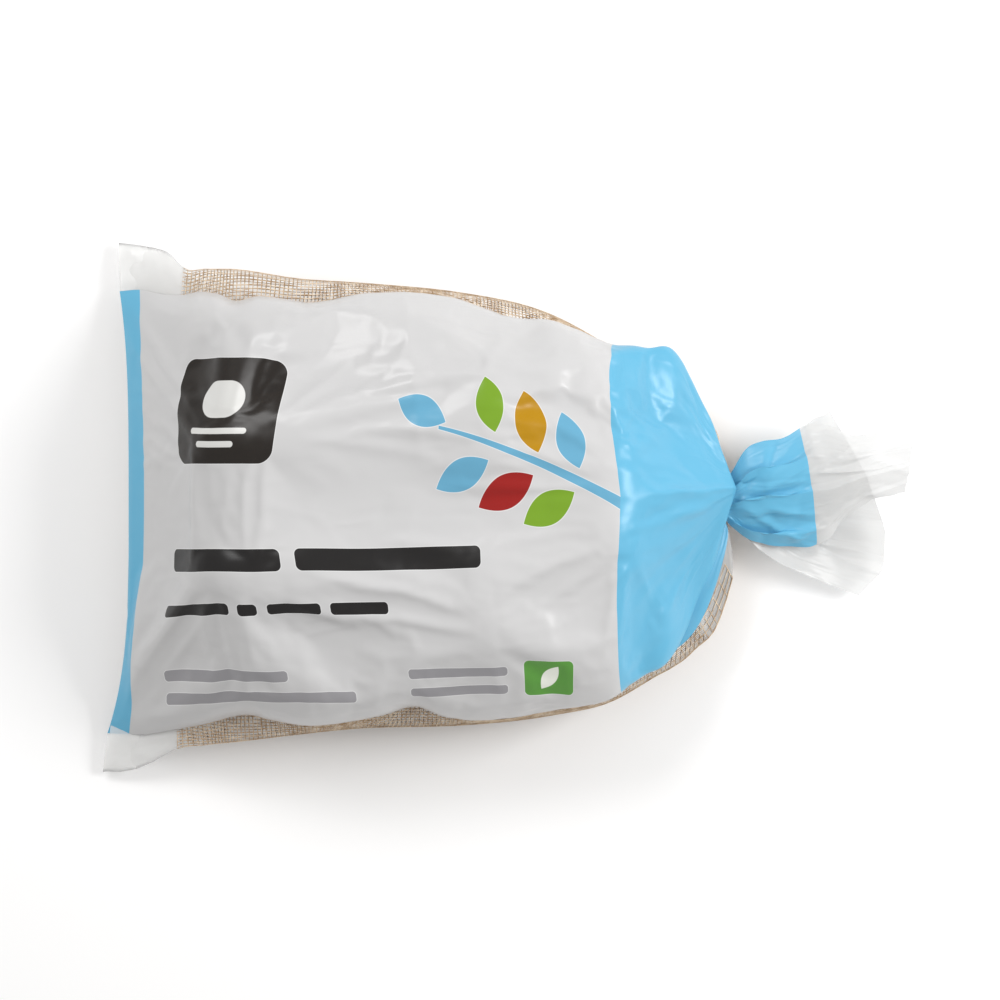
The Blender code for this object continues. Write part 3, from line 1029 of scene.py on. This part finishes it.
EAR_CREASES = (
    (-194, 131, 2.2, 16, 1.0, 2),
    (-188, 127, 0.3, 14, -0.8, 2),
    (-200, 127, 1.2, 12, 0.7, 1.6),
    (-181, 130, 1.9, 10, 0.9, 2),
    (-200, -128, 0.9, 15, 1.0, 2),
    (-190, -130, 2.6, 14, -0.8, 2),
    (-184, -124, 0.2, 14, 0.8, 1.8),
    (-205, -134, 2.0, 9, 0.6, 1.5),
)
strip_lengths = np.linspace(0, STRIP_TO, 20)
strip_rows = creased(back_rows(strip_lengths, 10, 60), EAR_CREASES)
strip_uv = flat_uv(strip_lengths, strip_rows.shape[1], BACK_WIDTH)
bottom_strip = sheet_mesh("bottom_strip_film", strip_rows, strip_uv, False)
# The ears' clear film is toned lighter than the same film in the tuft: painted light, to keep them bright
# over the floor's shadow.
bottom_strip.data.materials.append(clear_film_material("clear_bottom_film_painted_lighter", 0.82, 0.55))
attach(bottom_strip, "root")
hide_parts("bottom_strip")

# ---------------------------------------------------------------------------------------------------------
# The top strip. Clear film from the net's upper edge through the neck to the lip, where it shows as the
# lower half of the tuft. The tie gathers it with the printed film, and its pleats are wider and flatter.
# ---------------------------------------------------------------------------------------------------------

NET_TO = 357.0
STRIP_UNDER_NET = 3
BACK_FAN = (
    (386, (117, -9, 25), (118.5, 3, 18.5), (118, 16, 25)),
    (396, (124, -15, 23.5), (125, 2, 17.5), (124, 20, 24)),
    (410, (136, -25, 22), (137, -1, 15), (134, 28, 24)),
    (424, (148, -32, 20), (149, -3, 13.5), (147, 36, 25)),
    (438, (163, -38, 16), (164, -6, 12), (160, 46, 27)),
    (450, (173, -42, 13), (175, -10, 11), (165, 48, 28)),
    (464, (184, -46, 11), (198, -13, 10), (168.5, 50, 28)),
)
BACK_PLEATS = (0, 0.40, 0.34, 0.62, 0.52, 0.84, 0.78, 1.0)
BACK_LIFTS = (0, 0.5, -0.6, 0.8, -0.7, 0.6, -0.8, 0)
BACK_PLEAT_HEIGHT = 2.6
BACK_PRESSED_FROM = 412.0
BACK_LIP_AT = 464.0
# Only the outer pleats are made, 120 mm of the sheet, with the crumple laid out over 300 mm.
CRUMPLE_WIDTH = 0.30
FLAP_FOLD = (152, -33, -0.15, 9, 1.1, 1.2)

top_lengths = np.linspace(NET_TO - STRIP_UNDER_NET, NECK_AT, 16)
top_body = back_rows(top_lengths, 8, 60)
top_fan_lengths = np.linspace(NECK_AT, BACK_LIP_AT, 36)[1:]
top_shape = BACK_FAN, BACK_PLEATS, BACK_LIFTS, BACK_PLEAT_HEIGHT, top_body[-1]
top_fan = fan(*top_shape, top_fan_lengths, top_body.shape[1], BACK_PRESSED_FROM)
top_rows = np.concatenate([top_body, creased(top_fan, [*tuft_creases(8, 40, 88), FLAP_FOLD])])
top_uv = flat_uv(np.concatenate([top_lengths, top_fan_lengths]), top_rows.shape[1], CRUMPLE_WIDTH)
top_strip = sheet_mesh("top_strip_film", top_rows, top_uv, False)
# The same clear film as the ears, toned darker here: painted shade in the tuft.
top_strip.data.materials.append(clear_film_material("clear_top_film_painted_darker", 0.63, 0.58))
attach(top_strip, "root")
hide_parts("top_strip")

# ---------------------------------------------------------------------------------------------------------
# The net. An open weave of flat tan polyethylene tapes, welded to the printed film along both sides and
# over the edges of the two clear strips. Every tape is swept along its own line on the back's surface.
# ---------------------------------------------------------------------------------------------------------

NET_PITCH = 2.35
NET_UNDER_STRIP = 1
NET_WELD = 10.0
WARP_WIDTH, WEFT_WIDTH, TAPE_THICKNESS, CROSSING_LIFT = 0.38 * MM, 0.36 * MM, 0.16 * MM, 0.09 * MM


def net_material():
    """Tan tape, lighter and darker along its length."""
    material, shader = new_material("tan_net_tape")
    shader.inputs["Roughness"].default_value = 0.45
    nodes, links = nodes_and_links(material)
    place = nodes.new("ShaderNodeTexCoord")
    patches = nodes.new("ShaderNodeTexNoise")
    patches.inputs["Scale"].default_value = 210.0
    patches.inputs["Detail"].default_value = 3.0
    links.new(place.outputs["Object"], patches.inputs["Vector"])
    ramp = nodes.new("ShaderNodeValToRGB")
    ramp.color_ramp.elements[0].position = 0.36
    ramp.color_ramp.elements[0].color = (0.46, 0.29, 0.15, 1)
    ramp.color_ramp.elements[1].position = 0.62
    ramp.color_ramp.elements[1].color = (0.80, 0.64, 0.46, 1)
    links.new(patches.outputs["Fac"], ramp.inputs["Fac"])
    links.new(ramp.outputs["Color"], shader.inputs["Base Color"])
    return material


net_tape = net_material()


def tapes(name, points, along_rows, width, thickness, lift):
    """Flat tapes along one direction of a surface, each swept along its own line with its face outwards."""
    rows, columns = points.shape[:2]
    index = np.arange(rows * columns).reshape(rows, columns)
    ends = (index[:-1], index[1:]) if along_rows else (index[:, :-1], index[:, 1:])
    edges = np.stack([ends[0].ravel(), ends[1].ravel()], axis=1)
    surface = sheet_mesh("surface", points, np.zeros((rows, columns, 2)), False)
    facing = normals(surface.data).copy()
    bpy.data.objects.remove(surface)
    mesh = bpy.data.meshes.new(name)
    mesh.from_pydata((points.reshape(-1, 3) * MM + facing * lift).tolist(), edges.tolist(), [])
    facing_layer = mesh.attributes.new("facing", "FLOAT_VECTOR", "POINT")
    facing_layer.data.foreach_set("vector", facing.reshape(-1))
    obj = bpy.data.objects.new(name, mesh)
    scene.collection.objects.link(obj)
    tree = bpy.data.node_groups.new(name, "GeometryNodeTree")
    tree.interface.new_socket("Lines", in_out="INPUT", socket_type="NodeSocketGeometry")
    sizes = {"Tape width": width, "Tape thickness": thickness}
    for label in sizes:
        tree.interface.new_socket(label, in_out="INPUT", socket_type="NodeSocketFloat")
    tree.interface.new_socket("Tapes", in_out="OUTPUT", socket_type="NodeSocketGeometry")
    nodes = tree.nodes
    start, end = nodes.new("NodeGroupInput"), nodes.new("NodeGroupOutput")
    to_curve = nodes.new("GeometryNodeMeshToCurve")
    facing_in = nodes.new("GeometryNodeInputNamedAttribute")
    facing_in.data_type = "FLOAT_VECTOR"
    facing_in.inputs["Name"].default_value = "facing"
    turn = nodes.new("GeometryNodeSetCurveNormal")
    turn.mode = "FREE"
    section = nodes.new("GeometryNodeCurvePrimitiveQuadrilateral")
    sweep = nodes.new("GeometryNodeCurveToMesh")
    realize = nodes.new("GeometryNodeRealizeInstances")
    paint = nodes.new("GeometryNodeSetMaterial")
    paint.inputs["Material"].default_value = net_tape
    sweep.inputs["Fill Caps"].default_value = True
    for giver, output, taker, socket in (
        (start, "Lines", to_curve, "Mesh"),
        (to_curve, "Curve", turn, "Curve"),
        (facing_in, "Attribute", turn, "Normal"),
        (start, "Tape thickness", section, "Width"),
        (start, "Tape width", section, "Height"),
        (turn, "Curve", sweep, "Curve"),
        (section, "Curve", sweep, "Profile Curve"),
        (sweep, "Mesh", realize, "Geometry"),
        (realize, "Geometry", paint, "Geometry"),
        (paint, "Geometry", end, "Tapes"),
    ):
        tree.links.new(giver.outputs[output], taker.inputs[socket])
    weave = obj.modifiers.new("weave", "NODES")
    weave.node_group = tree
    for item in tree.interface.items_tree:
        if item.in_out == "INPUT" and item.name in sizes:
            weave[item.identifier] = sizes[item.name]
    finished(obj)
    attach(obj, "root")
    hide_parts("back_net")
    return obj


net_lengths = np.arange(STRIP_TO - NET_UNDER_STRIP, NET_TO + NET_WELD, NET_PITCH)
net_rows = back_rows(net_lengths, 7, 66)
# Near the neck the net lies over the clear strip, but under the printed film's edge.
over_strip = np.clip((net_lengths - NET_TO + 8) / 8, 0, 1) * 0.7
number = np.arange(net_rows.shape[1])
outside = np.interp(np.minimum(number, number[::-1]), (2, 4), (-0.9, 0.8))
net_rows -= grid_normals(net_rows) * over_strip[:, None, None] * outside[None, :, None]
warp = tapes("net_warp", net_rows, True, WARP_WIDTH, TAPE_THICKNESS, CROSSING_LIFT)
weft = tapes("net_weft", net_rows, False, WEFT_WIDTH, TAPE_THICKNESS, -CROSSING_LIFT)

# ---------------------------------------------------------------------------------------------------------
# The tie. A thin steel wire in a white plastic coat goes once round the gathered neck, and its two ends are
# twisted together underneath.
# ---------------------------------------------------------------------------------------------------------

TIE_MIDDLE = (113, 4, 27)
TIE_REACH = (11.1, 9.7)
TIE_RADIUS = 0.8
TIE_WAVE = 0.5
TWIST_TURNS, TWIST_LENGTH, TWIST_RADIUS = 2.5, 7.2, 0.8
LOOP_STEPS, TWIST_STEPS = 96, 30


def twisted_end(start_angle):
    """One end of the wire, in mm, from the loop down round the other end."""
    x, y, z = TIE_MIDDLE
    for k in range(TWIST_STEPS + 1):
        down = k / TWIST_STEPS
        angle = 2 * math.pi * TWIST_TURNS * down + start_angle
        yield (
            x + TWIST_RADIUS * math.cos(angle) + 2 * down,
            y - 3 * down + TWIST_RADIUS * math.sin(angle),
            z - TIE_REACH[1] - 0.9 - TWIST_LENGTH * down,
        )


def tie_line():
    """The wire's middle line, in mm: a twisted end, one turn round the neck, and the other twisted end."""
    x, y, z = TIE_MIDDLE
    yield from reversed(list(twisted_end(0)))
    for k in range(4, LOOP_STEPS - 3):
        angle = -math.pi / 2 - 2 * math.pi * k / LOOP_STEPS
        wave = TIE_WAVE * math.sin(angle * 1.5)
        yield x + wave, y + TIE_REACH[0] * math.cos(angle), z + TIE_REACH[1] * math.sin(angle)
    yield from twisted_end(math.pi)


def wire_mesh(name):
    curve = bpy.data.curves.new(name, "CURVE")
    curve.dimensions = "3D"
    curve.bevel_depth = TIE_RADIUS * MM
    curve.bevel_resolution = 2
    curve.use_fill_caps = True
    spline = curve.splines.new("POLY")
    line = list(tie_line())
    spline.points.add(len(line) - 1)
    for point, place in zip(spline.points, line):
        point.co = (*(value * MM for value in place), 1)
    bent = bpy.data.objects.new("bent_wire", curve)
    scene.collection.objects.link(bent)
    mesh = bpy.data.meshes.new_from_object(bent.evaluated_get(bpy.context.evaluated_depsgraph_get()))
    bpy.data.objects.remove(bent)
    mesh.shade_smooth()
    mesh.materials.clear()
    return mesh


def coated_wire_material():
    """White plastic coat with a very fine grain."""
    material, shader = new_material("white_coated_wire")
    nodes, links = nodes_and_links(material)
    place = nodes.new("ShaderNodeTexCoord")
    grain = nodes.new("ShaderNodeTexNoise")
    grain.inputs["Scale"].default_value = 900.0
    links.new(place.outputs["Object"], grain.inputs["Vector"])
    bump = nodes.new("ShaderNodeBump")
    bump.inputs["Distance"].default_value = 0.0002
    links.new(grain.outputs["Fac"], bump.inputs["Height"])
    links.new(bump.outputs["Normal"], shader.inputs["Normal"])
    shader.inputs["Base Color"].default_value = (0.82, 0.83, 0.84, 1)
    shader.inputs["Roughness"].default_value = 0.38
    return material


tie = bpy.data.objects.new("wire_tie", wire_mesh("wire_tie"))
tie.data.materials.append(coated_wire_material())
scene.collection.objects.link(tie)
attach(tie, "root")
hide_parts("neck_tie")
